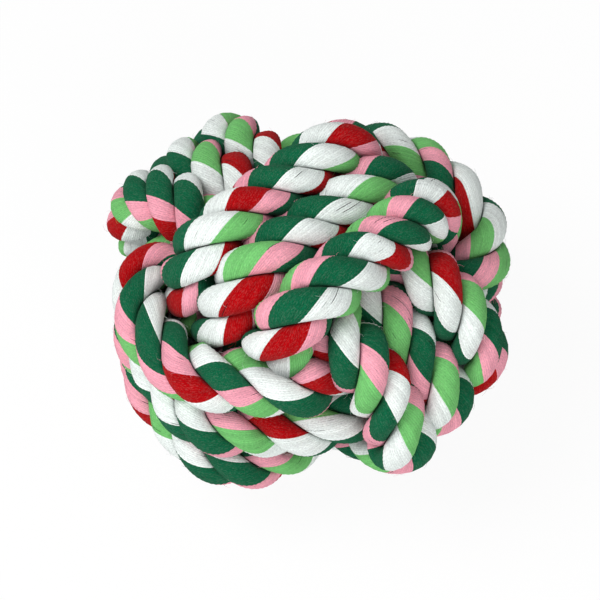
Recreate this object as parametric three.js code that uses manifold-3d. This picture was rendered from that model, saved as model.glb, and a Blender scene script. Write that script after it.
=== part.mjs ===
// Rope dog toy: a ball tied as a monkey's fist, three sets of three turns of one thick cotton rope.
// Millimetres, +Z up. The ball stands on the flattened underside of its third turns, at z = 0.
import * as THREE from "three";
import { mergeVertices } from "three/addons/utils/BufferGeometryUtils.js";
import Module from "manifold-3d";

// driving dimensions
const ropeDiameter = 12.2;
const turnClearance = 0.8;
const jointGap = 0.3;
const restFlatDepth = ropeDiameter / 8;
const coreDiameter = 28;
const coreDetail = 4;
const cutOverrun = 10;
const ropeColour = 0x5f9a78;
const coreColour = 0xe6e0d2;
const threadColour = 0xf4f2ec;

// whipping: the band of thread that binds each end of the rope
const neckDepth = 1;
const whippingSeat = 0.3;
const whippingWall = 0.6;
const whippingLength = 6.5;
const whippingSetback = 1.2;
const whippingSides = 16;

// how finely the winding is followed
const turnsPerSet = 3;
const stationsPerTurn = 4;
const stepsPerTurn = 24;
const ropeSides = 6;
const crossoverSteps = 12;
const gapSteps = 4;

// how the wound rope is drawn tight
const drawSteps = 70;
const settleSteps = 30;
const contactSteps = 3;
const tensionShare = 0.05;
const contactShare = 0.8;
const nearShare = 1.5;
const bendRadiusShare = 0.9;

// Places of the turns, as shares of the pitch, read off the photograph. A turn has four stations,
// one on each side that it passes, and each station is [reach from the middle, level in the stack,
// drift along the pass].
const squarenessShare = 2.8;
const crossoverHandleShare = 1.3;
const turnLengthShare = 16.7;
const standShare = 2.72;
const firstTurnShares = [
  [[2.2, 1.3, 0.2], [2.75, 1.5, -1.1], [1.9, 1.2, 0.3], [2.85, 0.9, 0.2]],
  [[2.3, 0.2, -0.3], [3.5, 0.2, -0.9], [2.0, 0.1, 0], [2.95, -0.15, 0]],
  [[2.3, -0.8, -0.4], [3.5, -0.95, -1.0], [1.9, -0.95, 0], [2.9, -1.25, 0]],
];
const secondTurnShares = [
  [[2.9, 0.75, 0], [1.75, 0.2, 0], [3.25, 0.95, 0], [1.9, 0.9, 0]],
  [[2.95, 0.1, 0], [1.75, -0.5, 0], [3.3, -0.1, 0], [1.95, -0.05, 0]],
  [[2.9, -1.0, 0], [1.9, -1.1, 0], [3.2, -1.3, 0], [1.9, -1.05, 0]],
];
const thirdTurnShares = [
  [[3.0, -1.6, 0], [1.9, -0.2, 0], [2.8, -0.7, 0], [2.0, -0.95, 0]],
  [[3.15, -0.3, 0], [2.0, 0.75, 0], [2.8, 0.35, 0], [1.95, -0.05, 0]],
  [[3.15, 0.7, 0], [1.95, 1.55, 0], [2.8, 1.55, -0.3], [1.3, 0.9, 0]],
];
const startStation = -0.15;
const firstEndStation = 11.3;
const secondStartStation = -0.1;
const secondEndStation = 11.0;
const thirdStartStation = 0.1;
const endStation = 11.25;
const firstJointStation = 10;
const secondJointStation = 11;

// sizes that follow from them
const ropeRadius = ropeDiameter / 2;
const neckRadius = ropeRadius - neckDepth;
const pitch = ropeDiameter + turnClearance;
const coreRadius = coreDiameter / 2;
const coreReach = coreRadius + ropeRadius + turnClearance;
const standHeight = standShare * pitch;
const floorLevel = -standHeight - ropeRadius + restFlatDepth;
const stepLength = (turnLengthShare * pitch) / stepsPerTurn;

const wasm = await Module();
wasm.setup();

const front = new THREE.Vector3(0, -1, 0);
const back = new THREE.Vector3(0, 1, 0);
const left = new THREE.Vector3(-1, 0, 0);
const right = new THREE.Vector3(1, 0, 0);
const up = new THREE.Vector3(0, 0, 1);
const down = new THREE.Vector3(0, 0, -1);

const turnSets = [
  {
    sides: [left, front, right, back],
    stack: up,
    shares: firstTurnShares,
    from: startStation,
    to: firstEndStation,
  },
  {
    sides: [left, up, right, down],
    stack: back,
    shares: secondTurnShares,
    from: secondStartStation,
    to: secondEndStation,
  },
  {
    sides: [down, back, up, front],
    stack: right,
    shares: thirdTurnShares,
    from: thirdStartStation,
    to: endStation,
  },
];

// One set of turns. Between two stations the rope follows a quarter of a superellipse, its level
// eases from one to the other, and each station's drift fades along the pass.
function windSet({ sides, stack, shares, from, to }) {
  const stations = shares.flat();
  const last = stations.length - 1;
  const levelStep = (stations[last - 3][1] - stations[0][1]) / (turnsPerSet - 1);
  const stationAt = (index) => {
    if (index < 0) {
      const [reach, level, drift] = stations[index + stationsPerTurn];
      return [reach, level - levelStep, drift];
    }
    if (index > last) {
      const [reach, level, drift] = stations[index - stationsPerTurn];
      return [reach, level + levelStep, drift];
    }
    return stations[index];
  };
  const points = [];
  const steps = Math.floor(((to - from) * stepsPerTurn) / stationsPerTurn + 1e-6);
  for (let step = 0; step <= steps; step += 1) {
    const place = from + (step * stationsPerTurn) / stepsPerTurn;
    const index = Math.floor(place);
    const along = place - index;
    const [reachA, levelA, driftA] = stationAt(index);
    const [reachB, levelB, driftB] = stationAt(index + 1);
    const sideA = sides[(index + stationsPerTurn) % stationsPerTurn];
    const sideB = sides[(index + 1 + stationsPerTurn) % stationsPerTurn];
    const nearA = Math.cos((along * Math.PI) / 2) ** (2 / squarenessShare);
    const nearB = Math.sin((along * Math.PI) / 2) ** (2 / squarenessShare);
    const ease = along * along * (3 - 2 * along);
    const point = new THREE.Vector3();
    point.addScaledVector(sideA, reachA * nearA * pitch);
    point.addScaledVector(sideB, reachB * nearB * pitch);
    point.addScaledVector(stack, (levelA + (levelB - levelA) * ease) * pitch);
    point.addScaledVector(positive(sideB), driftA * nearA ** 3 * pitch);
    point.addScaledVector(positive(sideA), driftB * nearB ** 3 * pitch);
    points.push(point);
  }
  return points;
}

function positive(side) {
  return new THREE.Vector3(Math.abs(side.x), Math.abs(side.y), Math.abs(side.z));
}

// The crossover from one set to the next is a cubic curve that leaves and arrives along both headings.
function crossOver(before, after) {
  const start = before[before.length - 1];
  const end = after[0];
  const handle = crossoverHandleShare * pitch;
  const leaving = start.clone().sub(before[before.length - 2]).setLength(handle).add(start);
  const arriving = end.clone().sub(after[1]).setLength(handle).add(end);
  const curve = new THREE.CubicBezierCurve3(start, leaving, arriving, end);
  return curve.getPoints(crossoverSteps - 1).slice(1, -1);
}

// The whole rope as evenly spaced points, with the steps at which the sets are parted.
function windRope() {
  const [first, second, third] = turnSets.map(windSet);
  const firstCross = crossOver(first, second);
  const secondCross = crossOver(second, third);
  const rough = [...first, ...firstCross, ...second, ...secondCross, ...third];
  const stepsPerStation = stepsPerTurn / stationsPerTurn;
  const firstJointIndex = Math.round((firstJointStation - startStation) * stepsPerStation);
  const beforeSecond = first.length + firstCross.length - 1;
  const intoSecond = Math.round((secondJointStation - secondStartStation) * stepsPerStation);
  const roughJoints = [firstJointIndex, beforeSecond + intoSecond];
  const lengths = [0];
  for (let index = 1; index < rough.length; index += 1) {
    lengths.push(lengths[index - 1] + rough[index].distanceTo(rough[index - 1]));
  }
  const total = lengths[lengths.length - 1];
  const count = Math.round(total / stepLength);
  const rope = [];
  let seat = 0;
  for (let index = 0; index < count; index += 1) {
    const length = (total * index) / (count - 1);
    while (seat < rough.length - 2 && lengths[seat + 1] < length) {
      seat += 1;
    }
    const share = (length - lengths[seat]) / (lengths[seat + 1] - lengths[seat]);
    rope.push(rough[seat].clone().lerp(rough[seat + 1], share));
  }
  const joints = roughJoints.map((index) => Math.round((lengths[index] / total) * (count - 1)));
  return { rope, joints };
}

// Closest places of two straight steps of rope, as shares of each step, and the way between them.
const stepA = new THREE.Vector3();
const stepB = new THREE.Vector3();
const between = new THREE.Vector3();
function closestPlaces(startA, endA, startB, endB) {
  stepA.subVectors(endA, startA);
  stepB.subVectors(endB, startB);
  between.subVectors(startA, startB);
  const a = stepA.dot(stepA);
  const e = stepB.dot(stepB);
  const f = stepB.dot(between);
  const c = stepA.dot(between);
  const b = stepA.dot(stepB);
  const spread = a * e - b * b;
  let shareA = spread > 1e-9 ? THREE.MathUtils.clamp((b * f - c * e) / spread, 0, 1) : 0;
  const shareB = THREE.MathUtils.clamp((b * shareA + f) / e, 0, 1);
  shareA = THREE.MathUtils.clamp((b * shareB - c) / a, 0, 1);
  const way = between.clone().addScaledVector(stepA, shareA).addScaledVector(stepB, -shareB);
  return { shareA, shareB, way };
}

// Draws the rope tight: it shortens a little each round, pushes itself a pitch apart wherever two
// stretches meet, stays off the core and on the surface it stands on, and bends no tighter than it can.
function drawTight(rope, joints) {
  const far = Math.ceil((nearShare * pitch) / stepLength) + 1;
  const last = rope.length - 1;
  const leastBend = bendRadiusShare * pitch;
  for (let round = 0; round < drawSteps + settleSteps; round += 1) {
    const tension = round < drawSteps ? tensionShare : 0;
    const middles = rope.map((point, index) => {
      if (index === 0 || index === last) {
        return point.clone();
      }
      return rope[index - 1].clone().add(rope[index + 1]).multiplyScalar(0.5);
    });
    for (let index = 1; index < last; index += 1) {
      const way = middles[index].sub(rope[index]);
      const side = rope[index - 1].distanceTo(rope[index + 1]) / 2;
      const mostRise = (side * side) / (2 * leastBend);
      const rise = way.length();
      const pull = rise > mostRise ? Math.max(2 * tension, (1 - mostRise / rise) / 2) : 2 * tension;
      rope[index].addScaledVector(way, pull);
    }
    for (let pass = 0; pass < contactSteps; pass += 1) {
      pushApart(rope, far);
      for (const point of rope) {
        const reach = point.length();
        if (reach < coreReach) {
          point.multiplyScalar(coreReach / reach);
        }
        point.z = Math.max(point.z, -standHeight);
      }
      straighten(rope, joints);
    }
  }
}

function pushApart(rope, far) {
  const pushes = rope.map(() => new THREE.Vector3());
  const counts = rope.map(() => 0);
  for (let one = 0; one < rope.length - 1; one += 1) {
    for (let other = one + far + 1; other < rope.length - 1; other += 1) {
      if (rope[one].distanceToSquared(rope[other]) > 9 * pitch * pitch) {
        continue;
      }
      const { shareA, shareB, way } = closestPlaces(rope[one], rope[one + 1], rope[other], rope[other + 1]);
      const distance = way.length();
      if (distance >= pitch || distance === 0) {
        continue;
      }
      const push = (pitch - distance) / distance;
      const places = [
        [one, 1 - shareA, 1],
        [one + 1, shareA, 1],
        [other, 1 - shareB, -1],
        [other + 1, shareB, -1],
      ];
      for (const [index, weight, sign] of places) {
        pushes[index].addScaledVector(way, push * weight * sign);
        counts[index] += weight;
      }
    }
  }
  rope.forEach((point, index) => {
    point.addScaledVector(pushes[index], contactShare / Math.max(counts[index], 1));
  });
}

// The rope runs straight at both its ends and through each place where two sets are parted.
function straighten(rope, joints) {
  const last = rope.length - 1;
  layEven(rope, 0, 2);
  layEven(rope, last - 2, last);
  for (const joint of joints) {
    layEven(rope, joint - 1, joint + 2);
  }
}

// Lays a run of points evenly on the line along its two ends, through its middle.
function layEven(rope, from, to) {
  const middle = new THREE.Vector3();
  for (let index = from; index <= to; index += 1) {
    middle.add(rope[index]);
  }
  middle.divideScalar(to - from + 1);
  const step = rope[to].clone().sub(rope[from]).divideScalar(to - from);
  for (let index = from; index <= to; index += 1) {
    rope[index].copy(middle).addScaledVector(step, index - (from + to) / 2);
  }
}

// Least gap of the rope to itself, measured on points along its centre line.
function leastGap(rope) {
  const far = (Math.ceil((nearShare * pitch) / stepLength) + 1) * gapSteps;
  const points = [];
  for (let index = 0; index < rope.length - 1; index += 1) {
    for (let sample = 0; sample < gapSteps; sample += 1) {
      points.push(rope[index].clone().lerp(rope[index + 1], sample / gapSteps));
    }
  }
  let least = Infinity;
  for (let one = 0; one < points.length; one += 1) {
    for (let other = one + far; other < points.length; other += 1) {
      least = Math.min(least, points[one].distanceTo(points[other]));
    }
  }
  return least - ropeDiameter;
}

// A closed tube of flat-sided rope along a run of points, mitred at each, with a radius at each.
function ropeTube(points, radii, firstSide) {
  const positions = [];
  const indices = [];
  const lastStep = points.length - 1;
  const sideways = firstSide.clone();
  let heading = points[1].clone().sub(points[0]).normalize();
  points.forEach((point, index) => {
    const next = index < lastStep ? points[index + 1].clone().sub(point).normalize() : heading.clone();
    const mitre = heading.clone().add(next).normalize();
    for (let side = 0; side < ropeSides; side += 1) {
      const angle = (side * 2 * Math.PI) / ropeSides;
      const across = sideways.clone().applyAxisAngle(heading, angle);
      across.addScaledVector(heading, -across.dot(mitre) / heading.dot(mitre));
      positions.push(...point.clone().addScaledVector(across, radii[index]).toArray());
    }
    sideways.applyQuaternion(new THREE.Quaternion().setFromUnitVectors(heading, next));
    heading = next;
  });
  for (let step = 0; step < lastStep; step += 1) {
    for (let side = 0; side < ropeSides; side += 1) {
      const a = step * ropeSides + side;
      const b = step * ropeSides + ((side + 1) % ropeSides);
      indices.push(a, b, b + ropeSides, a, b + ropeSides, a + ropeSides);
    }
  }
  const endRing = lastStep * ropeSides;
  for (let side = 1; side < ropeSides - 1; side += 1) {
    indices.push(0, side + 1, side);
    indices.push(endRing, endRing + side, endRing + side + 1);
  }
  const geometry = new THREE.BufferGeometry();
  geometry.setAttribute("position", new THREE.Float32BufferAttribute(positions, 3));
  geometry.setIndex(indices);
  return { geometry, sideways };
}

function toSolid(geometry) {
  const plain = geometry.clone();
  plain.deleteAttribute("normal");
  plain.deleteAttribute("uv");
  const merged = mergeVertices(plain);
  const vertProperties = new Float32Array(merged.attributes.position.array);
  const triVerts = new Uint32Array(merged.index.array);
  return new wasm.Manifold(new wasm.Mesh({ numProp: 3, vertProperties, triVerts }));
}

function toGeometry(solid) {
  const mesh = solid.getMesh();
  const geometry = new THREE.BufferGeometry();
  geometry.setAttribute("position", new THREE.Float32BufferAttribute(mesh.vertProperties, 3));
  geometry.setIndex([...mesh.triVerts]);
  return geometry;
}

// Cuts flat whatever the ball stands on.
function restFlat(geometry) {
  geometry.computeBoundingBox();
  const { min, max } = geometry.boundingBox;
  if (min.z >= floorLevel) {
    return geometry;
  }
  const width = max.x - min.x + cutOverrun;
  const depth = max.y - min.y + cutOverrun;
  const cut = new THREE.BoxGeometry(width, depth, cutOverrun);
  cut.translate((min.x + max.x) / 2, (min.y + max.y) / 2, floorLevel - cutOverrun / 2);
  return toGeometry(toSolid(geometry).subtract(toSolid(cut)));
}

// The thread band round a necked rope end, seated whippingSetback in from the end.
function whippingBand(end, inward) {
  const inner = (neckRadius + whippingSeat) / Math.cos(Math.PI / whippingSides);
  const outer = inner + whippingWall;
  const half = whippingLength / 2;
  const corners = [[inner, -half], [outer, -half], [outer, half], [inner, half], [inner, -half]];
  const profile = corners.map(([radius, height]) => new THREE.Vector2(radius, height));
  const band = new THREE.LatheGeometry(profile, whippingSides);
  const heading = inward.clone().sub(end).normalize();
  band.applyQuaternion(new THREE.Quaternion().setFromUnitVectors(back, heading));
  const centre = end.clone().addScaledVector(heading, whippingSetback + half);
  band.translate(centre.x, centre.y, centre.z);
  return band;
}

function addNode(group, name, geometry, colour) {
  geometry.computeVertexNormals();
  const material = new THREE.MeshStandardMaterial({ color: colour, roughness: 0.95, metalness: 0 });
  const mesh = new THREE.Mesh(geometry, material);
  mesh.name = name;
  group.add(mesh);
}

const { rope, joints } = windRope();
drawTight(rope, joints);

// Each set of turns is one tube. It ends half a joint gap short of the middle of its parting step.
const radii = rope.map(() => ropeRadius);
radii[0] = neckRadius;
radii[1] = neckRadius;
radii[rope.length - 1] = neckRadius;
radii[rope.length - 2] = neckRadius;
const partings = joints.map((joint) => {
  const middle = rope[joint].clone().lerp(rope[joint + 1], 0.5);
  const heading = rope[joint + 1].clone().sub(rope[joint]).normalize();
  return {
    before: middle.clone().addScaledVector(heading, -jointGap / 2),
    after: middle.clone().addScaledVector(heading, jointGap / 2),
  };
});
const runs = [
  [...rope.slice(0, joints[0] + 1), partings[0].before],
  [partings[0].after, ...rope.slice(joints[0] + 1, joints[1] + 1), partings[1].before],
  [partings[1].after, ...rope.slice(joints[1] + 1)],
];
const runRadii = [
  [...radii.slice(0, joints[0] + 1), ropeRadius],
  [ropeRadius, ...radii.slice(joints[0] + 1, joints[1] + 1), ropeRadius],
  [ropeRadius, ...radii.slice(joints[1] + 1)],
];

const knot = new THREE.Group();
const names = ["first_turns", "second_turns", "third_turns"];
let side = new THREE.Vector3().crossVectors(runs[0][1].clone().sub(runs[0][0]), up).normalize();
runs.forEach((run, index) => {
  const tube = ropeTube(run, runRadii[index], side);
  side = tube.sideways;
  addNode(knot, names[index], restFlat(tube.geometry), ropeColour);
});
const coreSphere = new THREE.IcosahedronGeometry(coreRadius, coreDetail);
addNode(knot, "core_ball", mergeVertices(bare(coreSphere)), coreColour);
addNode(knot, "start_whipping", whippingBand(rope[0], rope[1]), threadColour);
addNode(knot, "end_whipping", whippingBand(rope[rope.length - 1], rope[rope.length - 2]), threadColour);

function bare(geometry) {
  geometry.deleteAttribute("normal");
  geometry.deleteAttribute("uv");
  return geometry;
}

// The origin is on the standing face, under the middle of the ball.
const box = new THREE.Box3().setFromObject(knot);
knot.position.set(-(box.min.x + box.max.x) / 2, -(box.min.y + box.max.y) / 2, -floorLevel);
const ropeBall = new THREE.Group();
ropeBall.add(knot);

const ropeLength = rope.slice(1).reduce((sum, point, index) => sum + point.distanceTo(rope[index]), 0);
console.log("least gap of the rope to itself:", leastGap(rope).toFixed(2), "mm");
console.log("rope length:", ropeLength.toFixed(0), "mm in", rope.length - 1, "steps");

export default ropeBall;
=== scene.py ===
import bpy
import numpy as np
from mathutils import Matrix, Vector


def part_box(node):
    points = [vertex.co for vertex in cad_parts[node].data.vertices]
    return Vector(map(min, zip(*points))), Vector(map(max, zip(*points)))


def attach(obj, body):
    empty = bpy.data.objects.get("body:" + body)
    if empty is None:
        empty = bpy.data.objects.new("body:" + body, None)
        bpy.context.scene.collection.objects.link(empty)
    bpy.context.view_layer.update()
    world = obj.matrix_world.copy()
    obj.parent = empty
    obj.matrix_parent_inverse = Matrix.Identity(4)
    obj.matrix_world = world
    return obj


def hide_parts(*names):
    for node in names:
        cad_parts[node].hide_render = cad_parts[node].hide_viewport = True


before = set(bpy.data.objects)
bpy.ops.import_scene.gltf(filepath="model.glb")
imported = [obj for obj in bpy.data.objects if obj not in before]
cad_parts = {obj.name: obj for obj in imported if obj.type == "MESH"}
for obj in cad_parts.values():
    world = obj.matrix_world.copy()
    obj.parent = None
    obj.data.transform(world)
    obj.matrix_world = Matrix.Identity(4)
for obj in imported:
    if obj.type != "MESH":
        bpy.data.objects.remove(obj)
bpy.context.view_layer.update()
mm = 0.001
coreLow, coreHigh = [np.array(corner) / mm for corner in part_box("core_ball")]
knotCentre = (coreLow + coreHigh) / 2   # the rope is wound round its core
print("frame loaded, knot centre", knotCentre.round(2))

# The route of the rope is wound the same way as its solids, in millimetres about the knot's centre.
# A share is of the pitch, but tension and contact are shares of the whole move in a round, and
# squareness is the power of the superellipse.
winding = dict(
    ropeDiameter=12.2, turnClearance=0.8, coreDiameter=28.0,
    stepsPerTurn=24, crossoverSteps=12, drawSteps=70, settleSteps=30, contactSteps=3,
    tensionShare=0.05, contactShare=0.8, nearShare=1.5, bendRadiusShare=0.9,
    squarenessShare=2.8, crossoverHandleShare=1.3, turnLengthShare=16.7, standShare=2.72)

# A turn has four stations: (reach from the middle, level in the stack, drift along the pass), in
# pitches.
firstTurns = dict(
    shares=[[(2.2, 1.3, 0.2), (2.75, 1.5, -1.1), (1.9, 1.2, 0.3), (2.85, 0.9, 0.2)],
            [(2.3, 0.2, -0.3), (3.5, 0.2, -0.9), (2.0, 0.1, 0), (2.95, -0.15, 0)],
            [(2.3, -0.8, -0.4), (3.5, -0.95, -1.0), (1.9, -0.95, 0), (2.9, -1.25, 0)]],
    sides=["-x", "-y", "+x", "+y"], stack="+z", start=-0.15, stop=11.3)
secondTurns = dict(
    shares=[[(2.9, 0.75, 0), (1.75, 0.2, 0), (3.25, 0.95, 0), (1.9, 0.9, 0)],
            [(2.95, 0.1, 0), (1.75, -0.5, 0), (3.3, -0.1, 0), (1.95, -0.05, 0)],
            [(2.9, -1.0, 0), (1.9, -1.1, 0), (3.2, -1.3, 0), (1.9, -1.05, 0)]],
    sides=["-x", "+z", "+x", "-z"], stack="+y", start=-0.1, stop=11.0)
thirdTurns = dict(
    shares=[[(3.0, -1.6, 0), (1.9, -0.2, 0), (2.8, -0.7, 0), (2.0, -0.95, 0)],
            [(3.15, -0.3, 0), (2.0, 0.75, 0), (2.8, 0.35, 0), (1.95, -0.05, 0)],
            [(3.15, 0.7, 0), (1.95, 1.55, 0), (2.8, 1.55, -0.3), (1.3, 0.9, 0)]],
    sides=["-z", "+y", "+z", "-y"], stack="+x", start=0.1, stop=11.25)
joining = dict(firstStation=10, secondStation=11)

pitch = winding["ropeDiameter"] + winding["turnClearance"]
stepLength = winding["turnLengthShare"] * pitch / winding["stepsPerTurn"]


def wayOf(name):
    way = np.zeros(3)
    way["xyz".index(name[1])] = 1 if name[0] == "+" else -1
    return way


def windSet(turns):
    # between two stations the rope follows a quarter of a superellipse, its level eases from one to the
    # other, and each station's drift fades along the pass
    stations = np.array([station for turn in turns["shares"] for station in turn], float)
    sides = np.array([wayOf(name) for name in turns["sides"]])
    levelStep = (stations[8, 1] - stations[0, 1]) / 2
    before, after = stations[3:4].copy(), stations[8:10].copy()
    before[:, 1] -= levelStep
    after[:, 1] += levelStep
    stations = np.concatenate([before, stations, after])
    steps = int((turns["stop"] - turns["start"]) * winding["stepsPerTurn"] / 4 + 1e-6)
    place = turns["start"] + np.arange(steps + 1) * 4 / winding["stepsPerTurn"]
    index = np.floor(place).astype(int)
    along = (place - index)[:, None]
    a, b = stations[index + 1], stations[index + 2]
    sideA, sideB = sides[index % 4], sides[(index + 1) % 4]
    nearA = np.cos(along * np.pi / 2) ** (2 / winding["squarenessShare"])
    nearB = np.sin(along * np.pi / 2) ** (2 / winding["squarenessShare"])
    ease = along * along * (3 - 2 * along)
    points = sideA * a[:, :1] * nearA + sideB * b[:, :1] * nearB
    points = points + wayOf(turns["stack"]) * (a[:, 1:2] + (b[:, 1:2] - a[:, 1:2]) * ease)
    points = points + np.abs(sideB) * a[:, 2:] * nearA ** 3 + np.abs(sideA) * b[:, 2:] * nearB ** 3
    return points * pitch


def crossOver(before, after):
    # a cubic curve that leaves and arrives along both headings
    handle = winding["crossoverHandleShare"] * pitch
    leaving = before[-1] - before[-2]
    arriving = after[0] - after[1]
    leaving = leaving / np.linalg.norm(leaving) * handle + before[-1]
    arriving = arriving / np.linalg.norm(arriving) * handle + after[0]
    t = np.linspace(0, 1, winding["crossoverSteps"])[1:-1, None]
    return ((1 - t) ** 3 * before[-1] + 3 * (1 - t) ** 2 * t * leaving
            + 3 * (1 - t) * t * t * arriving + t ** 3 * after[0])


def windRope():
    # the three sets and their crossovers, laid out again in even steps
    first, second, third = windSet(firstTurns), windSet(secondTurns), windSet(thirdTurns)
    firstCross, secondCross = crossOver(first, second), crossOver(second, third)
    rough = np.concatenate([first, firstCross, second, secondCross, third])
    perStation = winding["stepsPerTurn"] / 4
    joints = [joining["firstStation"] - firstTurns["start"],
              joining["secondStation"] - secondTurns["start"]]
    joints = [int(joint * perStation + 0.5) for joint in joints]
    joints[1] += len(first) + len(firstCross) - 1
    lengths = np.concatenate([[0], np.cumsum(np.linalg.norm(np.diff(rough, axis=0), axis=1))])
    count = int(lengths[-1] / stepLength + 0.5)
    at = np.linspace(0, lengths[-1], count)
    points = np.stack([np.interp(at, lengths, rough[:, axis]) for axis in range(3)], axis=1)
    return points, [int(lengths[joint] / lengths[-1] * (count - 1) + 0.5) for joint in joints]


def closestPlaces(startA, endA, startB, endB):
    # closest places of pairs of straight steps, as shares of each step, and the way between them
    stepA, stepB, between = endA - startA, endB - startB, startA - startB
    a, e, b = (stepA * stepA).sum(1), (stepB * stepB).sum(1), (stepA * stepB).sum(1)
    f, c = (stepB * between).sum(1), (stepA * between).sum(1)
    spread = a * e - b * b
    shareA = np.where(spread > 1e-9, np.clip((b * f - c * e) / np.maximum(spread, 1e-12), 0, 1), 0)
    shareB = np.clip((b * shareA + f) / e, 0, 1)
    shareA = np.clip((b * shareB - c) / a, 0, 1)
    return shareA, shareB, between + stepA * shareA[:, None] - stepB * shareB[:, None]


def layEven(points, first, last):
    # sets the points from first to last in even steps on a straight line through their middle
    middle = points[first:last + 1].mean(0)
    step = (points[last] - points[first]) / (last - first)
    points[first:last + 1] = middle + step * (np.arange(first, last + 1)[:, None] - (first + last) / 2)


def drawTight(points, joints):
    # each round the rope shortens a little, pushes itself a pitch apart where two stretches meet, stays
    # off the core and on the floor, and bends no tighter than it can
    last = len(points) - 1
    far = int(np.ceil(winding["nearShare"] * pitch / stepLength)) + 1
    ones, others = np.triu_indices(last, far + 1)
    coreReach = (winding["coreDiameter"] + winding["ropeDiameter"]) / 2 + winding["turnClearance"]
    leastBend = winding["bendRadiusShare"] * pitch
    for step in range(winding["drawSteps"] + winding["settleSteps"]):
        tension = winding["tensionShare"] if step < winding["drawSteps"] else 0
        way = (points[:-2] + points[2:]) / 2 - points[1:-1]
        mostRise = (np.linalg.norm(points[:-2] - points[2:], axis=1) / 2) ** 2 / (2 * leastBend)
        rise = np.linalg.norm(way, axis=1)
        bent = (1 - mostRise / np.maximum(rise, 1e-9)) / 2
        pull = np.where(rise > mostRise, np.maximum(2 * tension, bent), 2 * tension)
        points[1:-1] += way * pull[:, None]
        for contact in range(winding["contactSteps"]):
            near = ((points[ones] - points[others]) ** 2).sum(1) < 9 * pitch * pitch
            i, j = ones[near], others[near]
            shareA, shareB, way = closestPlaces(points[i], points[i + 1], points[j], points[j + 1])
            distance = np.linalg.norm(way, axis=1)
            hit = (distance < pitch) & (distance > 0)
            i, j, shareA, shareB, way, distance = (
                values[hit] for values in (i, j, shareA, shareB, way, distance))
            push = way * ((pitch - distance) / distance)[:, None]
            moves, counts = np.zeros_like(points), np.zeros(last + 1)
            for index, weight, sign in ((i, 1 - shareA, 1), (i + 1, shareA, 1),
                                        (j, 1 - shareB, -1), (j + 1, shareB, -1)):
                np.add.at(moves, index, push * (weight * sign)[:, None])
                np.add.at(counts, index, weight)
            points += moves * (winding["contactShare"] / np.maximum(counts, 1))[:, None]
            points *= np.maximum(1, coreReach / np.linalg.norm(points, axis=1))[:, None]
            points[:, 2] = np.maximum(points[:, 2], -winding["standShare"] * pitch)
            for first, end in [(0, 2), (last - 2, last)] + [(joint - 1, joint + 2) for joint in joints]:
                layEven(points, first, end)
    return points


# The soft rope lies a little closer in than its solids, and gives way where it is handled. Each dent
# is (first, middle and last step of the rope, then its shift in mm to the right, up and nearer, as seen
# from the side that the ball shows).
drawnIn = 0.975
seenFrom = dict(azimuth=41.0, elevation=57.0)
dents = [
    (4.0, 5.8, 7.5, 2.5, 0.0, 0.0),
    (7.5, 9.9, 12.0, 0.0, 5.5, 1.5),
    (16.0, 20.0, 23.5, 0.6, 2.6, 0.0),
    (31.5, 34.5, 37.0, 0.0, -2.2, 0.0),
    (59.0, 61.0, 63.0, 0.0, -2.6, 0.0),
    (77.5, 79.8, 82.0, -3.0, 1.4, 0.0),
    (79.8, 81.6, 83.8, 0.6, -3.4, 0.0),
    (84.5, 88.0, 91.5, 2.0, 0.6, 0.0),
    (88.0, 91.0, 95.0, -5.2, 5.4, 0.0),
    (101.0, 104.0, 107.0, -2.2, 4.2, 0.0),
    (111.0, 113.5, 116.0, 1.5, 0.0, 0.0),
    (112.5, 115.2, 118.5, -2.4, 3.6, 0.0),
    (124.5, 127.4, 130.4, -3.2, 2.2, 0.0),
    (133.5, 135.1, 136.6, -2.6, 0.0, 0.0),
    (136.4, 138.0, 140.0, 2.2, 0.0, 0.0),
    (137.4, 140.5, 144.5, -0.8, 6.0, 0.0),
    (161.0, 163.0, 165.5, 1.3, 0.0, 0.0),
    (190.0, 194.6, 199.0, 0.0, 3.4, 0.0),
    (204.5, 208.5, 213.0, 1.4, -1.6, 0.0)]


def seenAxes():
    # the ways to the right, up and nearer, for an eye at that azimuth and elevation
    azimuth, elevation = np.radians([seenFrom["azimuth"], seenFrom["elevation"]])
    level = np.array([np.sin(azimuth), -np.cos(azimuth), 0])
    nearer = level * np.cos(elevation) + np.array([0, 0, np.sin(elevation)])
    right = np.array([np.cos(azimuth), np.sin(azimuth), 0])
    return right, np.cross(nearer, right), nearer


def dentRope(points):
    # each dent is a full wave of cosine, from nothing at its first step to the whole shift at its
    # middle and back to nothing at its last
    steps = np.arange(len(points))
    for first, middle, last, *shift in dents:
        share = (steps - middle) / np.where(steps < middle, middle - first, last - middle)
        height = (1 + np.cos(np.pi * np.clip(share, -1, 1))) / 2
        points = points + height[:, None] * (np.array(shift) @ np.array(seenAxes()))
    points[:, 2] = np.maximum(points[:, 2], -winding["standShare"] * pitch)
    return points


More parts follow.
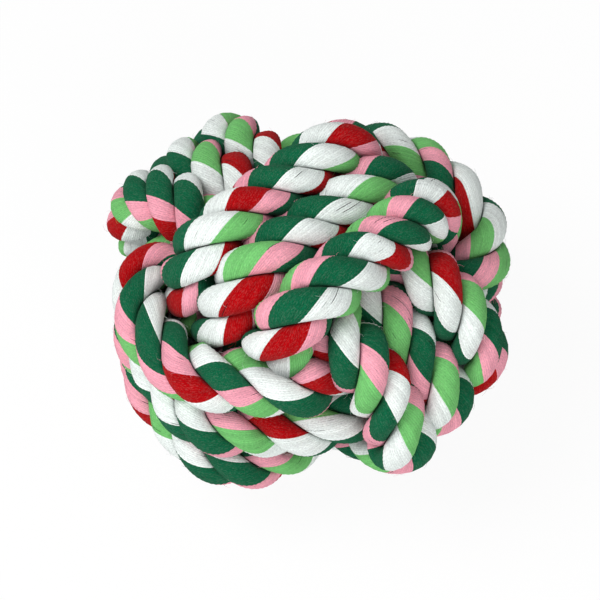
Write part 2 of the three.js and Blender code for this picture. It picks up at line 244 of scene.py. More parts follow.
def smoothLine(points, spacing, finer=24):
    # a natural cubic spline through the points, laid out in even steps, and where each point falls
    # on it
    count = len(points)
    beside = np.ones(count - 1)
    matrix = np.diag(np.full(count, 4.0)) + np.diag(beside, 1) + np.diag(beside, -1)
    matrix[0, 0] = matrix[-1, -1] = 1
    matrix[0, 1] = matrix[-1, -2] = 0
    right = np.zeros_like(points)
    right[1:-1] = 6 * (points[2:] - 2 * points[1:-1] + points[:-2])
    bend = np.linalg.solve(matrix, right)
    fine = np.linspace(0, count - 1, (count - 1) * finer + 1)
    index = np.minimum(fine.astype(int), count - 2)
    b = (fine - index)[:, None]
    a = 1 - b
    line = (a * points[index] + b * points[index + 1]
            + ((a ** 3 - a) * bend[index] + (b ** 3 - b) * bend[index + 1]) / 6)
    lengths = np.concatenate([[0], np.cumsum(np.linalg.norm(np.diff(line, axis=0), axis=1))])
    at = np.linspace(0, lengths[-1], int(lengths[-1] / spacing) + 1)
    even = np.stack([np.interp(at, lengths, line[:, axis]) for axis in range(3)], axis=1)
    return even, at, np.interp(np.arange(count), fine, lengths)


def carryFrame(line):
    # headings along the line, and a side direction carried along it without twist
    heading = np.gradient(line, axis=0)
    heading /= np.linalg.norm(heading, axis=1)[:, None]
    side = np.zeros_like(line)
    start = np.cross(heading[0], [0.0, 0.0, 1.0])
    side[0] = start / np.linalg.norm(start)
    for index in range(1, len(line)):
        way = side[index - 1] - heading[index] * side[index - 1].dot(heading[index])
        side[index] = way / np.linalg.norm(way)
    return heading, side, np.cross(heading, side)


ropePoints, ropeJoints = windRope()
ropePoints = dentRope(drawTight(ropePoints, ropeJoints)) * drawnIn
print("rope drawn tight,", len(ropePoints), "points")

# Three strands laid into one rope, in mm. The seat, size and parting of a strand, the neck, the swell,
# the breadth and the thickness are shares of the rope's radius. Each swell wave is (length along the
# rope / 2 pi, lag from strand to strand). Painted shade in a crease starts at a share of the way to the
# next strand, and painted shade beside another pass fades out at shadeReach from it. turnStart and
# strandSpan keep the counted turns of each strand's yarns in a span of their own.
rope = dict(
    diameter=13.1, lay=29.0, spacing=0.8, around=64, outerSides=0.28, yarns=48,
    strandSeat=0.47, strandTall=0.53, strandWide=0.56, parting=0.02, yarnTwist=0.83,
    breadth=1.22, thickness=1.03, ridgeHeight=0.06, ridges=12,
    swell=0.04, swellWaves=((7.3, 2.1), (11.9, 4.4)),
    neck=0.8, neckHold=8.0, neckLength=6.0, floorSoftness=0.5,
    creaseFrom=0.72, creaseWidth=0.5, ownPass=24.0, shadeReach=2.6,
    turnStart=160, strandSpan=200)

# Where strands crown towards the shown side: (step of the rope, the strand that crowns there, then the
# yarn band that the first, second and third strands turn outward there).
crowns = [
    (3.97, 0, 0.2, 0.7, 1.4), (7.81, 0, 3.5, 1.2, 0.8), (10.79, 0, 3.0, 1.9, 0.2),
    (15.77, 2, 2.4, 1.0, 2.6), (18.67, 2, 1.8, 1.0, 2.8), (21.8, 2, 1.2, 1.0, 2.2),
    (31.79, 0, 2.5, 2.6, 1.6), (35.28, 0, 2.5, 3.6, 1.6),
    (57.55, 2, 3.4, 0.5, 2.0), (61.1, 2, 0.1, 1.1, 2.2),
    (79.45, 2, 3.2, 0.5, 3.7), (86.05, 1, 2.6, 3.5, 2.2), (88.84, 1, 3.4, 0.6, 2.9),
    (103.73, 2, 2.9, 0.4, 3.1), (109.89, 2, 2.0, 1.0, 0.0), (112.86, 2, 2.8, 1.8, 0.8),
    (127.44, 2, 1.4, 1.7, 0.9), (134.66, 2, 3.2, 1.6, 0.0), (137.35, 2, 3.9, 2.3, 0.8),
    (157.1, 0, 3.0, 1.3, 1.4), (159.9, 0, 3.4, 1.6, 2.35), (162.74, 0, 3.4, 1.6, 2.5),
    (182.07, 2, 3.9, 3.8, 1.2), (185.02, 2, 0.4, 0.86, 2.1), (187.92, 2, 1.0, 1.8, 2.5),
    (204.46, 0, 1.0, 0.6, 2.44), (207.2, 0, 1.6, 0.9, 0.65), (209.61, 0, 2.3, 0.9, 0.95)]

# The first strand is laid of the red set of bands and the third of the green set; the second of the
# green set too, but of the red one between the two steps of redStretch.
redBands = ["darkGreen", "white", "red", "pink"]
greenBands = ["darkGreen", "white", "lightGreen", "pink"]
bandEdges = [0, 0.27, 0.54, 0.81, 1]
redStretch = (150.0, 197.0)

ropeLine, ropeAt, pointAt = smoothLine(ropePoints, rope["spacing"])
ropeFrame = np.concatenate([ropeLine, *carryFrame(ropeLine)], axis=1)
print("rope line", round(ropeAt[-1]), "mm")


def frameAt(at):
    # place, heading, side and other side of the rope at any lengths along it
    values = [np.interp(at, ropeAt, ropeFrame[:, column]) for column in range(12)]
    return [np.stack(values[first:first + 3], axis=-1) for first in (0, 3, 6, 9)]


def atStep(steps):
    return np.interp(steps, np.arange(len(pointAt)), pointAt)


def setCrowns():
    # turns of the lay and shifts of the three strands' yarns at each listed step, as unbroken counts:
    # a strand crowns where its way out points at the eye
    steps, there, *bands = np.array(crowns).T
    at, nearer = atStep(steps), seenAxes()[2]
    facing = np.arctan2(ropeFrame[:, 9:] @ nearer, ropeFrame[:, 6:9] @ nearer)
    facing = np.interp(at, ropeAt, np.unwrap(facing) / (2 * np.pi))
    turns = facing - there / 3
    for index in range(1, len(turns)):
        expected = turns[index - 1] + (at[index] - at[index - 1]) / rope["lay"]
        turns[index] += round(expected - turns[index])
    shifts = np.interp(np.array(bands), range(5), bandEdges) + facing + rope["yarnTwist"] * turns
    return at, turns, np.unwrap(shifts, axis=1, period=1)


crownAt, crownTurns, crownShifts = setCrowns()


def layTurn(at):
    # from crown to crown between the first and the last, and an even lay beyond them
    beyond = np.minimum(at - crownAt[0], 0) + np.maximum(at - crownAt[-1], 0)
    return np.interp(at, crownAt, crownTurns) + beyond / rope["lay"]


def passTouch(around=24, thin=4):
    # how closely other passes lie against the rope, at ways round it, for the painted shade where they
    # press: 1 on the face of another pass, falling to 0 at shadeReach from it
    thinned = ropeFrame[::thin]
    places, sides, others = thinned[:, :3], thinned[:, 6:9], thinned[:, 9:]
    own = np.abs(ropeAt[::thin, None] - ropeAt[None, ::thin]) < rope["ownPass"]
    radius, columns = rope["diameter"] / 2, []
    for angle in np.arange(around) * 2 * np.pi / around:
        rim = places + radius * (np.cos(angle) * sides + np.sin(angle) * others)
        far = np.where(own, np.inf, np.linalg.norm(rim[:, None] - places[None], axis=2))
        columns.append(np.clip(1 - (far.min(1) - radius) / rope["shadeReach"], 0, 1))
    return np.stack(columns, axis=1), rope["spacing"] * thin


touch, touchStep = passTouch()


def touchAt(at, angle):
    # the table of touches read evenly between its rows, along the rope, and its columns, round it
    row = np.clip(at / touchStep, 0, len(touch) - 1.001)
    column = angle / (2 * np.pi) * touch.shape[1]
    i, j = np.floor(row).astype(int), np.floor(column).astype(int)
    u, v, after = row - i, column - j, (j + 1) % touch.shape[1]
    j = j % touch.shape[1]
    return ((1 - u) * ((1 - v) * touch[i, j] + v * touch[i, after])
            + u * ((1 - v) * touch[i + 1, j] + v * touch[i + 1, after]))


def strandPlace(at, angle, strand):
    # The section of a strand is an ellipse that stands tall on the rope's axis, cut off softly at the
    # two planes where it meets its neighbours, and it turns round the axis once in a lay. Its yarns
    # turn back inside it, so that they come to lie along the rope. Pressed between its neighbours, the
    # rope is a little broader than it is thick. Gives the points, the ways to them from the strand's
    # middle, the yarns' turns, a span higher for each strand, and how deep each point lies in a
    # crease or against another pass, from 0 to 1, which the material paints as shade.
    radius = rope["diameter"] / 2
    turn = 2 * np.pi * (layTurn(at) + strand / 3)
    shifts = np.choose(strand, [np.interp(at, crownAt, shift) for shift in crownShifts])
    necked = np.clip((np.minimum(at, ropeAt[-1] - at) - rope["neckHold"]) / rope["neckLength"], 0, 1)
    size = radius * (rope["neck"] + (1 - rope["neck"]) * necked ** 2 * (3 - 2 * necked))
    waves = sum(np.sin(at / length + strand * lag) for length, lag in rope["swellWaves"])
    size = size * (1 + rope["swell"] * waves / 2 * necked)
    yarnTurn = shifts - strand / 3 - (angle + turn) / (2 * np.pi) - rope["yarnTwist"] * layTurn(at)
    yarnTurn = yarnTurn + rope["turnStart"] + rope["strandSpan"] * strand
    ridge = rope["ridgeHeight"] / radius * np.cos(rope["ridges"] * 2 * np.pi * yarnTurn)
    out = np.maximum(rope["strandSeat"] + (rope["strandTall"] + ridge) * np.cos(angle), 0.02)
    across = (rope["strandWide"] + ridge) * np.sin(angle)
    limit = np.maximum(out * np.tan(np.pi / 3) - rope["parting"], 0.01)
    deep = (np.abs(across / limit) - rope["creaseFrom"]) / rope["creaseWidth"]
    touched = touchAt(at, turn + np.arctan2(across, out))
    creaseShade = np.maximum(np.clip(deep, 0, 1) ** 2, touched ** 1.5)
    across = limit * np.tanh(np.abs(across / limit) ** 4) ** 0.25 * np.sign(across)
    place, heading, side, other = frameAt(at)
    outWay = np.cos(turn)[..., None] * side + np.sin(turn)[..., None] * other
    acrossWay = np.cos(turn)[..., None] * other - np.sin(turn)[..., None] * side
    offset = (out * size)[..., None] * outWay + (across * size)[..., None] * acrossWay
    rise = offset - (rope["strandSeat"] * size)[..., None] * outWay
    lengthwise = np.cross(heading, place)
    lengthwise /= np.linalg.norm(lengthwise, axis=-1, keepdims=True)
    spread = (offset * lengthwise).sum(-1) * (rope["breadth"] / rope["thickness"] - 1) * necked
    fuller = 1 + (rope["thickness"] - 1) * necked
    offset = (offset + spread[..., None] * lengthwise) * fuller[..., None]
    rise /= np.linalg.norm(rise, axis=-1, keepdims=True)
    return knotCentre + place + offset, rise, yarnTurn, creaseShade


def settleOnFloor(points):
    # presses softly flat whatever would sink below the floor
    soft = rope["floorSoftness"]
    low = points[..., 2]
    points[..., 2] = np.where(low < 4 * soft, soft * np.logaddexp(0, low / soft), low)
    return points


def tubeFaces(tubes, count, sides):
    # quads of closed tubes whose vertices run ring by ring, and a cap at both ends of each
    ring, side = np.meshgrid(np.arange(count - 1), np.arange(sides), indexing="ij")
    after = (side + 1) % sides
    quads = np.stack([ring * sides + side, ring * sides + after,
                      (ring + 1) * sides + after, (ring + 1) * sides + side], axis=-1)
    quads = quads.reshape(1, -1, 4)
    starts = np.arange(tubes)[:, None] * count * sides
    caps = np.concatenate([starts + np.arange(sides)[::-1],
                           starts + (count - 1) * sides + np.arange(sides)])
    return (quads + starts[..., None]).reshape(-1, 4), caps


def bentTubes(lines, thick, sides):
    # round tubes along many lines at once, with a thickness at each ring: (tubes, rings, sides, 3)
    heading = np.gradient(lines, axis=1)
    heading /= np.linalg.norm(heading, axis=-1, keepdims=True)
    steep = np.abs(heading[..., 2:]) >= 0.9
    aside = np.cross(heading, np.where(steep, [1.0, 0.0, 0.0], [0.0, 0.0, 1.0]))
    aside /= np.linalg.norm(aside, axis=-1, keepdims=True)
    upward = np.cross(heading, aside)
    angle = np.arange(sides)[:, None] * 2 * np.pi / sides
    rim = np.cos(angle) * aside[..., None, :] + np.sin(angle) * upward[..., None, :]
    return lines[..., None, :] + rim * thick[..., None, None] / 2


def makePiece(name, node, material, rings, yarn=None, cornerYarn=None, creaseShade=None):
    # closed tubes as one mesh, in millimetres, with (turn of the yarn, its place in cm), given for each
    # vertex or for each corner of a face, as its UV map, and the depth in a crease as an attribute that
    # the material paints as shade
    quads, caps = tubeFaces(*rings.shape[:3])
    mesh = bpy.data.meshes.new(name)
    mesh.from_pydata((rings.reshape(-1, 3) * mm).tolist(), [], quads.tolist() + caps.tolist())
    mesh.polygons.foreach_set("use_smooth", np.ones(len(mesh.polygons), bool))
    mesh.materials.append(material)
    if yarn is not None:
        cornerYarn = yarn[np.concatenate([quads.ravel(), caps.ravel()])]
    if cornerYarn is not None:
        mesh.uv_layers.new(name="yarn").data.foreach_set("uv", cornerYarn.astype(np.float32).ravel())
    if creaseShade is not None:
        depths = mesh.attributes.new("creaseShade", "FLOAT", "POINT").data
        depths.foreach_set("value", creaseShade.astype(np.float32).ravel())
    mesh.update()
    piece = bpy.data.objects.new(name, mesh)
    bpy.context.scene.collection.objects.link(piece)
    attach(piece, "root")
    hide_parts(node)


def colourOf(red, green, blue):
    # a screen colour, from 0 to 255, as Blender's linear one
    value = np.array([red, green, blue]) / 255
    value = np.where(value <= 0.04045, value / 12.92, ((value + 0.055) / 1.055) ** 2.4)
    return (*value.tolist(), 1.0)


yarnColours = dict(
    darkGreen=colourOf(9, 95, 62), white=colourOf(238, 245, 242), red=colourOf(172, 0, 8),
    pink=colourOf(244, 165, 182), lightGreen=colourOf(116, 195, 112))
partingShade = (0.012, 0.012, 0.012, 1)
fluffColour = colourOf(214, 214, 206)

# Places where the yarns of a strand part and show painted shade between them: (step of the rope,
# band, strand). Each reaches a part of a turn aside and some cm along.
partings = [
    (208.6, 1.45, 1), (206.7, 3.6, 1), (183.0, 1.4, 1), (18.5, 3.3, 2), (36.1, 1.5, 2), (110.6, 3.3, 1)]
partingSize = dict(turn=1 / 16, length=0.5)

# The look of the yarn. Repeats are how often a pattern comes in one turn round the strand, or from yarn
# to yarn, and then in a cm along it. A tone is (share, start) of the factor that it puts on the colour;
# the edge shade tone is painted shade between yarns and the crease shade tone painted shade in creases.
# The bump's distance is in metres.
yarnLook = dict(
    wander=0.012, wanderRepeats=(2.2, 1.1), roundness=1.04, edgePower=3.0, edgeShadeTone=(-0.17, 1.0),
    yarnTone=(0.14, 0.88), patchRepeats=(3.7, 3.0), patchTone=(0.24, 0.88),
    twist=(1.6, 26.0), fibreRepeats=(2.3, 8.0), fibreScale=1.6, fibreTone=(0.3, 0.85), fibreHeight=0.5,
    looseRepeats=(5.3, 1.6), openShare=0.3, slitRange=(0.77, 0.82), slitEdges=(0.4, 0.8),
    slitHeight=-1.6, speckRepeats=(120.0, 22.0), speckTone=(1.0, 0.52), speckHeight=1.2,
    fleckRepeats=(130.0, 30.0), fleckLayer=9.5, fleckRange=(0.46, 0.74), fleckShare=0.055,
    creaseShadeTone=(-0.75, 1.0), bumpDistance=0.00012)

# Cotton scatters light softly and hardly shines.
clothLook = {
    "Roughness": 0.92, "Specular IOR Level": 0.05, "Sheen Weight": 0.03, "Sheen Roughness": 0.5}


def addNode(tree, kind, inputs=(), **settings):
    # a shader node, each input linked if it is given as an output and set if as a value
    node = tree.nodes.new("ShaderNode" + kind)
    for name, value in settings.items():
        setattr(node, name, value)
    for socket, value in dict(inputs).items():
        if hasattr(value, "is_output"):
            tree.links.new(value, node.inputs[socket])
        else:
            node.inputs[socket].default_value = value
    return node


def mathNode(tree, operation, a, b=0.0, c=0.0):
    return addNode(tree, "Math", {0: a, 1: b, 2: c}, operation=operation).outputs[0]


def mixColours(tree, share, first, second, **settings):
    inputs = {0: share, 6: first, 7: second}
    return addNode(tree, "Mix", inputs, data_type="RGBA", **settings).outputs[2]


def yarnGroup():
    # Turn runs once round a strand in 1, Place runs along it in cm. Each yarn is a round ridge of
    # twisted fibres with painted shade along its edges, wanders a little, differs a little from its
    # neighbours, and parts from them where Open is high.
    tree = bpy.data.node_groups.new("spunYarn", "ShaderNodeTree")
    for name in ("Turn", "Place", "Open"):
        tree.interface.new_socket(name=name, in_out="INPUT", socket_type="NodeSocketFloat")
    for name in ("Turn", "Shade", "Slit", "Height", "Fleck"):
        tree.interface.new_socket(name=name, in_out="OUTPUT", socket_type="NodeSocketFloat")
    inside, outside = tree.nodes.new("NodeGroupInput"), tree.nodes.new("NodeGroupOutput")
    turn, place, opened = [inside.outputs[index] for index in range(3)]
    look = yarnLook

    def math(operation, a, b=0.0, c=0.0):
        return mathNode(tree, operation, a, b, c)

    def noise(x, y, z=0.0, **values):
        here = addNode(tree, "CombineXYZ", {0: x, 1: y, 2: z}).outputs[0]
        return addNode(tree, "TexNoise", {"Vector": here, "Scale": 1.0, **values}).outputs[0]

    def ramp(value, low, high):
        inputs = {"Value": value, "From Min": low, "From Max": high}
        return addNode(tree, "MapRange", inputs).outputs[0]

    def pattern(across, repeats, **values):
        x, y = math("MULTIPLY", across, repeats[0]), math("MULTIPLY", place, repeats[1])
        return noise(x, y, **values)

    bend = pattern(turn, look["wanderRepeats"], Detail=2.0)
    moved = math("MULTIPLY_ADD", math("SUBTRACT", bend, 0.5), look["wander"], turn)
    yarnPlace = math("MULTIPLY", moved, float(rope["yarns"]))
    yarnIndex = math("FLOOR", yarnPlace)
    across = math("MULTIPLY_ADD", math("FRACT", yarnPlace), 2.0, -1.0)
    square = math("MULTIPLY", across, across)
    ridge = math("SQRT", math("SUBTRACT", look["roundness"], square))
    # painted shade: darker towards each yarn's edges, where it meets its neighbours
    edgeShade = math("POWER", square, look["edgePower"])
    random = addNode(tree, "TexWhiteNoise", {"W": yarnIndex}, noise_dimensions="1D").outputs[0]
    patch = pattern(yarnIndex, look["patchRepeats"], Detail=1.0)
    twist = math("MULTIPLY_ADD", across, look["twist"][0], math("MULTIPLY", place, look["twist"][1]))
    yarnLayer = math("MULTIPLY", yarnIndex, look["fibreRepeats"][0])
    fibre = noise(twist, math("MULTIPLY", place, look["fibreRepeats"][1]), yarnLayer,
                  Scale=look["fibreScale"], Detail=3.0, Roughness=0.6)
    loose = pattern(math("ROUND", yarnPlace), look["looseRepeats"], Detail=0.0)
    loose = math("MULTIPLY_ADD", opened, look["openShare"], loose)
    slit = math("MULTIPLY", ramp(loose, *look["slitRange"]), ramp(square, *look["slitEdges"]))
    speck = pattern(turn, look["speckRepeats"], Detail=2.0, Roughness=0.7)
    fleck = pattern(turn, look["fleckRepeats"], z=look["fleckLayer"], Detail=1.0)
    fleck = math("MULTIPLY", ramp(fleck, *look["fleckRange"]), look["fleckShare"])
    shade = math("MULTIPLY_ADD", random, *look["yarnTone"])
    for value, tone in ((speck, "speckTone"), (patch, "patchTone"), (fibre, "fibreTone"),
                        (edgeShade, "edgeShadeTone")):
        shade = math("MULTIPLY", shade, math("MULTIPLY_ADD", value, *look[tone]))
    height = math("MULTIPLY_ADD", fibre, look["fibreHeight"], ridge)
    height = math("MULTIPLY_ADD", slit, look["slitHeight"], height)
    height = math("MULTIPLY_ADD", speck, look["speckHeight"], height)
    for index, value in enumerate((moved, shade, slit, height, fleck)):
        tree.links.new(value, outside.inputs[index])
    return tree


spunYarn = yarnGroup()


def clothShader(name):
    # a shader with the cloth's look; its colour and its normal come from the material that asks for it
    material = bpy.data.materials.new(name)
    material.use_nodes = True
    shader = material.node_tree.nodes["Principled BSDF"]
    for socket, value in clothLook.items():
        shader.inputs[socket].default_value = value
    return material, material.node_tree, shader


def onStrand(tree, turn, strand):
    # 1 where the counted turn lies in that strand's own span, and 0 elsewhere
    half = rope["strandSpan"] / 2
    return mathNode(tree, "COMPARE", turn, half + rope["strandSpan"] * strand, half)


def openings(tree, turn, place):
    # 1 in the middle of each listed parting, falling to 0 at its edge with the square of the way
    opened, perTurn, perCm = 0.0, 1 / partingSize["turn"], 1 / partingSize["length"]
    for step, band, strand in partings:
        aside = mathNode(tree, "SUBTRACT", turn, float(np.interp(band, range(5), bandEdges)))
        aside = mathNode(tree, "MULTIPLY", mathNode(tree, "WRAP", aside, 0.5, -0.5), perTurn)
        along = mathNode(tree, "MULTIPLY_ADD", place, perCm, -perCm * float(atStep(step)) / 10)
        far = mathNode(tree, "MULTIPLY_ADD", aside, aside, mathNode(tree, "MULTIPLY", along, along))
        near = mathNode(tree, "SUBTRACT", 1.0, far)
        here = mathNode(tree, "MULTIPLY", near, onStrand(tree, turn, strand))
        opened = mathNode(tree, "MAXIMUM", opened, here)
    return opened


def yarnMaterial(name, solid):
    # Four bands of coloured yarn round each strand, with painted shade in the creases and where other
    # passes lie close, and on a solid strand painted shade where the yarns part. The first half of the
    # ramp holds the red set of bands, the other the green.
    material, tree, shader = clothShader(name)
    parts = addNode(tree, "SeparateXYZ", {0: addNode(tree, "UVMap", uv_map="yarn").outputs[0]})
    turn, place = parts.outputs[0], parts.outputs[1]
    yarn = addNode(tree, "Group", node_tree=spunYarn)
    tree.links.new(turn, yarn.inputs["Turn"])
    tree.links.new(place, yarn.inputs["Place"])
    start, stop = [float(at) / 10 for at in atStep(redStretch)]
    within = mathNode(tree, "COMPARE", place, (start + stop) / 2, (stop - start) / 2)
    second = mathNode(tree, "MULTIPLY", within, onStrand(tree, turn, 1))
    red = mathNode(tree, "MAXIMUM", second, onStrand(tree, turn, 0))
    share = mathNode(tree, "SUBTRACT", mathNode(tree, "FRACT", yarn.outputs["Turn"]), red)
    ramp = addNode(tree, "ValToRGB", {0: mathNode(tree, "MULTIPLY_ADD", share, 0.5, 0.5)})
    ramp.color_ramp.interpolation = "CONSTANT"
    stops, bands = ramp.color_ramp.elements, redBands + greenBands
    while len(stops) < len(bands):
        stops.new(1.0)
    for index, band in enumerate(bands):
        stops[index].position = (bandEdges[index % 4] + index // 4) / 2
        stops[index].color = yarnColours[band]
    # painted shade: the colour is darker by the depth in a crease or against another pass
    creaseShade = addNode(tree, "Attribute", attribute_name="creaseShade").outputs["Fac"]
    creaseShadeFactor = mathNode(tree, "MULTIPLY_ADD", creaseShade, *yarnLook["creaseShadeTone"])
    shade = mathNode(tree, "MULTIPLY", yarn.outputs["Shade"], creaseShadeFactor)
    colour = mixColours(tree, yarn.outputs["Fleck"], ramp.outputs[0], fluffColour)
    colour = mixColours(tree, 1.0, colour, shade, blend_type="MULTIPLY")
    if solid:
        tree.links.new(openings(tree, turn, place), yarn.inputs["Open"])
        # painted shade in the slits where the yarns part
        colour = mixColours(tree, yarn.outputs["Slit"], colour, partingShade)
        bump = addNode(tree, "Bump", {"Height": yarn.outputs["Height"], "Strength": 1.0,
                                      "Distance": yarnLook["bumpDistance"]})
        tree.links.new(bump.outputs[0], shader.inputs["Normal"])
    tree.links.new(colour, shader.inputs["Base Color"])
    return material


def strandPiece(name, node, first, last, strand):
    # one strand from step first to step last of the rope's line, with finer sides on its outer face
    at = ropeAt[first:last + 1][:, None]
    around = np.linspace(0, 2 * np.pi, rope["around"] + 1)[None, :]
    at, angle = np.broadcast_arrays(at, np.pi + around - rope["outerSides"] * np.sin(around))
    points, _, turns, creaseShade = strandPlace(at, angle, np.full(at.shape, strand))
    yarn = np.stack([turns, at / 10], axis=-1)
    corners = np.stack([yarn[:-1, :-1], yarn[:-1, 1:], yarn[1:, 1:], yarn[1:, :-1]], axis=2)
    caps = np.repeat(yarn[[0, -1], 0], rope["around"], axis=0)
    rings = settleOnFloor(points[:, :-1])[None]
    makePiece(name, node, cottonRope, rings, creaseShade=creaseShade[:, :-1],
              cornerYarn=np.concatenate([corners.reshape(-1, 2), caps]))


# Loose fibres stand off the strands as a short soft nap, in mm. How far a fibre runs along, stands and
# curls are shares of its length, and bend is the least and most of the half wave that it stands in.
nap = dict(
    perSet=3000, thickness=0.045, taper=(1.3, 0.5), shortest=0.8, longest=2.4, scatter=0.8,
    along=0.8, standing=0.5, curl=0.35, bend=(0.4, 0.9), rooted=0.1, spread=1.7, floorGap=0.02,
    rings=5, sides=3)


def napPiece(name, node, first, last, chance):
    # each fibre leaves a strand's face, leans along it and bends back to it in part of a sine wave
    count = nap["perSet"]
    at = chance.uniform(ropeAt[first], ropeAt[last], count)
    angle = chance.uniform(-nap["spread"], nap["spread"], count)
    points, ways, turns, _ = strandPlace(at, angle, chance.integers(0, 3, count))
    lean = chance.normal(0, nap["scatter"], (count, 3))
    lean += frameAt(at)[1] * chance.choice([-1.0, 1.0], (count, 1))
    lean -= ways * (lean * ways).sum(1)[:, None]
    lean /= np.linalg.norm(lean, axis=1)[:, None]
    length = chance.uniform(nap["shortest"], nap["longest"], (count, 1, 1))
    t = np.linspace(0, 1, nap["rings"])[None, :, None]
    rise = nap["standing"] * np.sin(t * np.pi * chance.uniform(*nap["bend"], (count, 1, 1))) / 2
    curl = chance.normal(0, nap["curl"], (count, 1, 1)) * t * t
    points, ways, lean = points[:, None], ways[:, None], lean[:, None]
    run = lean * t * nap["along"] + np.cross(ways, lean) * curl + ways * rise
    lines = points + length * run - ways * nap["rooted"]
    thick = nap["thickness"] * np.linspace(*nap["taper"], nap["rings"]) + np.zeros((count, 1))
    rings = bentTubes(lines, thick, nap["sides"])
    rings[..., 2] = np.maximum(rings[..., 2], nap["floorGap"])
    yarn = np.repeat(np.stack([turns, at / 10], axis=-1), nap["rings"] * nap["sides"], axis=0)
    makePiece(name, node, looseCotton, rings, yarn=yarn)


cottonRope, looseCotton = yarnMaterial("cottonRope", True), yarnMaterial("looseCotton", False)
napChance = np.random.default_rng(7)

# One set of turns ends and the next begins in the middle of the step where their solids part.
jointSteps = [int(round((pointAt[joint] + pointAt[joint + 1]) / 2 / ropeAt[1])) for joint in ropeJoints]
setSteps = dict(first=(0, jointSteps[0]), second=tuple(jointSteps),
                third=(jointSteps[1], len(ropeLine) - 1))
for setName, (first, last) in setSteps.items():
    for strand in range(3):
        strandPiece(f"{setName}TurnsStrand{strand + 1}", f"{setName}_turns", first, last, strand)
    napPiece(f"{setName}TurnsNap", f"{setName}_turns", first, last, napChance)
    print(setName, "turns laid")

# The core is a ball wound from undyed yarn round a packed middle, in mm.
core = dict(
    yarn=1.7, loops=74, ringsPerLoop=40, sides=8, axisTop=0.98, precession=0.5, build=1.5,
    middleShare=0.86, middleRings=25, middleSides=48, poleGap=0.02)

# The look of undyed cotton: how often its fine and slow tones change in the width of a yarn, how much
# each counts, how dark it is where worn, and its bump.
plainLook = dict(fine=1.6, fineShare=0.5, slow=0.12, slowShare=0.4, worn=0.62,
                 bumpStrength=0.8, bumpDistance=0.0003)


def plainCotton(name, colour, yarnSize):
    # undyed cotton: a fine twist and a slow change of tone, on Object coordinates
    material, tree, shader = clothShader(name)
    here = addNode(tree, "TexCoord").outputs["Object"]
    fine, slow = [
        addNode(tree, "TexNoise", {"Vector": here, "Scale": plainLook[tone] / yarnSize,
                                   "Detail": detail}).outputs[0]
        for tone, detail in (("fine", 4.0), ("slow", 1.0))]
    mixed = mathNode(tree, "MULTIPLY", fine, plainLook["fineShare"])
    mixed = mathNode(tree, "MULTIPLY_ADD", slow, plainLook["slowShare"], mixed)
    worn = tuple(plainLook["worn"] * value for value in colour[:3]) + (1,)
    tint = mixColours(tree, mixed, colour, worn)
    bump = addNode(tree, "Bump", {"Height": fine, "Strength": plainLook["bumpStrength"],
                                  "Distance": plainLook["bumpDistance"]})
    tree.links.new(tint, shader.inputs["Base Color"])
    tree.links.new(bump.outputs[0], shader.inputs["Normal"])
    return material


def woundCore():
    # one yarn on great circles whose axis creeps down the ball in a spiral, each loop a little further
    # out, and a ball inside it, in rings from pole to pole
    radius = (coreHigh - coreLow).min() / 2 - core["yarn"] / 2
    t = np.linspace(0, 1, core["loops"] * core["ringsPerLoop"])[:, None]
    height = core["axisTop"] - 2 * core["axisTop"] * t
    level, spin = np.sqrt(1 - height ** 2), core["precession"] * core["loops"] * t
    axis = np.concatenate([level * np.cos(spin), level * np.sin(spin), height], axis=1)
    aside = np.concatenate([-np.sin(spin), np.cos(spin), 0 * spin], axis=1)
    angle = 2 * np.pi * core["loops"] * t
    way = np.cos(angle) * aside + np.sin(angle) * np.cross(axis, aside)
    line = knotCentre + way * (radius - core["build"] * (1 - t))
    rings = bentTubes(line[None], np.full((1, len(t)), core["yarn"]), core["sides"])
    makePiece("woundCore", "core_ball", coreCotton, rings)
    down = np.linspace(core["poleGap"], np.pi - core["poleGap"], core["middleRings"])
    around = -np.arange(core["middleSides"]) * 2 * np.pi / core["middleSides"]
    down, around = np.meshgrid(down, around, indexing="ij")
    ball = np.stack([np.sin(down) * np.cos(around), np.sin(down) * np.sin(around), np.cos(down)],
                    axis=-1)
    ball = knotCentre + ball * core["middleShare"] * radius
    makePiece("packedMiddle", "core_ball", coreCotton, ball[None])


# Each end of the rope is bound with a close coil of thread, in mm.
whipping = dict(
    thread=0.66, inner=5.46, length=6.5, setback=1.2, ringsPerTurn=28, sides=8, spacing=1.02)


def whippingCoil(name, node, end, inward):
    # a helix of thread round the straight end of the rope
    heading = (inward - end) / np.linalg.norm(inward - end)
    aside = np.cross(heading, [0.0, 0.0, 1.0])
    aside /= np.linalg.norm(aside)
    turns = (whipping["length"] - whipping["thread"]) / (whipping["thread"] * whipping["spacing"])
    t = np.linspace(0, 1, int(turns * whipping["ringsPerTurn"]))[:, None]
    angle = 2 * np.pi * turns * t
    along = whipping["setback"] + whipping["thread"] / 2 + t * (whipping["length"] - whipping["thread"])
    rim = np.cos(angle) * aside + np.sin(angle) * np.cross(heading, aside)
    line = knotCentre + end + heading * along + rim * (whipping["inner"] + whipping["thread"] / 2)
    rings = bentTubes(line[None], np.full((1, len(t)), whipping["thread"]), whipping["sides"])
    makePiece(name, node, whippingThread, rings)


coreCotton = plainCotton("coreCotton", colourOf(214, 205, 186), core["yarn"] * mm)
whippingThread = plainCotton("whippingThread", colourOf(240, 238, 230), whipping["thread"] * mm)
woundCore()
whippingCoil("startCoil", "start_whipping", ropePoints[0], ropePoints[1])
whippingCoil("endCoil", "end_whipping", ropePoints[-1], ropePoints[-2])
print("core and whippings wound")

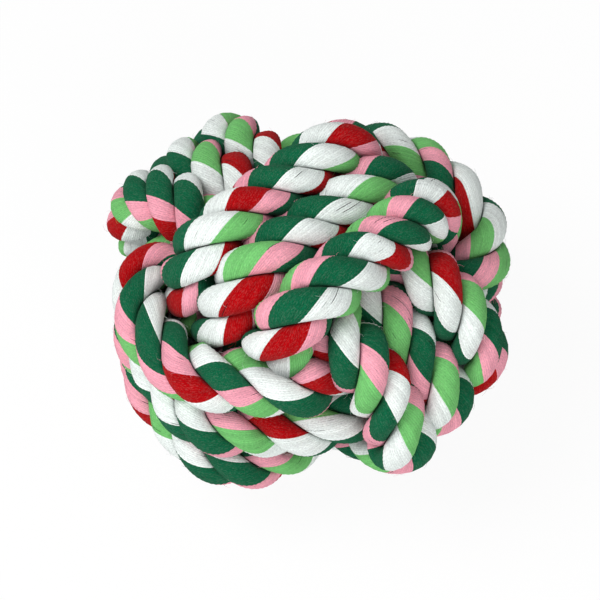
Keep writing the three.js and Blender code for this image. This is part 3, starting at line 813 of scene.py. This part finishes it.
# The distance is in mm, the focal length and where the ball's centre shows in pixels of the frame, and
# the lamps and the floor in metres.
studio = dict(
    frameSide=600, sensor=36.0, distance=650.0, focal=2762.0, centreAt=(310.0, 298.0),
    keyAt=(-0.25, -0.35, 0.75), keyPower=4.8, fillAt=(0.5, -0.4, 0.36), fillPower=2.1, lampSize=0.5,
    worldLevel=0.38, floorReach=3, floorColour=(0.9, 0.9, 0.9, 1), floorGlow=0.93)


def directlySeen(tree):
    # 1 for the rays that show the background itself, 0 for those that light the ball
    path = addNode(tree, "LightPath")
    seen = mathNode(tree, "MAXIMUM", path.outputs["Is Glossy Ray"], path.outputs["Is Transmission Ray"])
    return mathNode(tree, "MAXIMUM", path.outputs["Is Camera Ray"], seen)


def makeFloor():
    # a pale square that glows white to the rays that show it and keeps the ball's shadow
    reach, mesh = studio["floorReach"], bpy.data.meshes.new("floor")
    corners = [(-reach, -reach, 0), (reach, -reach, 0), (reach, reach, 0), (-reach, reach, 0)]
    mesh.from_pydata(corners, [], [(0, 1, 2, 3)])
    material = bpy.data.materials.new("paleFloor")
    material.use_nodes = True
    tree = material.node_tree
    shader = tree.nodes["Principled BSDF"]
    shader.inputs["Base Color"].default_value = studio["floorColour"]
    shader.inputs["Roughness"].default_value = 1.0
    shader.inputs["Specular IOR Level"].default_value = 0.0
    glow = addNode(tree, "Emission", {"Color": (1, 1, 1, 1), "Strength": 1.0})
    share = mathNode(tree, "MULTIPLY", directlySeen(tree), studio["floorGlow"])
    mix = addNode(tree, "MixShader", {0: share, 1: shader.outputs[0], 2: glow.outputs[0]})
    tree.links.new(mix.outputs[0], tree.nodes["Material Output"].inputs["Surface"])
    mesh.materials.append(material)
    floor = bpy.data.objects.new("floor", mesh)
    bpy.context.scene.collection.objects.link(floor)


def areaLamp(name, place, size, power):
    # a round soft lamp, turned to the ball
    lamp = bpy.data.lights.new(name, "AREA")
    lamp.shape, lamp.size, lamp.energy = "DISK", size, power
    piece = bpy.data.objects.new(name, lamp)
    piece.location = place
    aim = Vector(knotCentre * mm) - Vector(place)
    piece.rotation_euler = aim.to_track_quat("-Z", "Y").to_euler()
    bpy.context.scene.collection.objects.link(piece)


def setStudio():
    # the world's light, two lamps, and the camera at the side that the photograph shows
    scene = bpy.context.scene
    scene.view_settings.view_transform = "Standard"
    world = bpy.data.worlds.new("studio")
    world.use_nodes = True
    tree = world.node_tree
    background = tree.nodes["Background"]
    background.inputs[0].default_value = (1, 1, 1, 1)
    level = addNode(tree, "Mix", {0: directlySeen(tree), 2: studio["worldLevel"], 3: 1.0},
                    data_type="FLOAT")
    tree.links.new(level.outputs[0], background.inputs[1])
    scene.world = world
    right, upward, nearer = seenAxes()
    perPixel = studio["distance"] / studio["focal"]
    toRight, down = [studio["frameSide"] / 2 - pixel for pixel in studio["centreAt"]]
    aside = (right * toRight - upward * down) * perPixel
    camera = bpy.data.cameras.new("camera")
    camera.sensor_width = studio["sensor"]
    camera.lens = studio["sensor"] * studio["focal"] / studio["frameSide"]
    camera.clip_start = 0.01
    piece = bpy.data.objects.new("camera", camera)
    place = (knotCentre + aside + nearer * studio["distance"]) * mm
    rows = [(right[axis], upward[axis], nearer[axis], place[axis]) for axis in range(3)]
    piece.matrix_world = Matrix(rows + [(0, 0, 0, 1)])
    scene.collection.objects.link(piece)
    scene.camera = piece
    areaLamp("keyLamp", studio["keyAt"], studio["lampSize"], studio["keyPower"])
    areaLamp("fillLamp", studio["fillAt"], studio["lampSize"], studio["fillPower"])


makeFloor()
setStudio()
print("studio set")
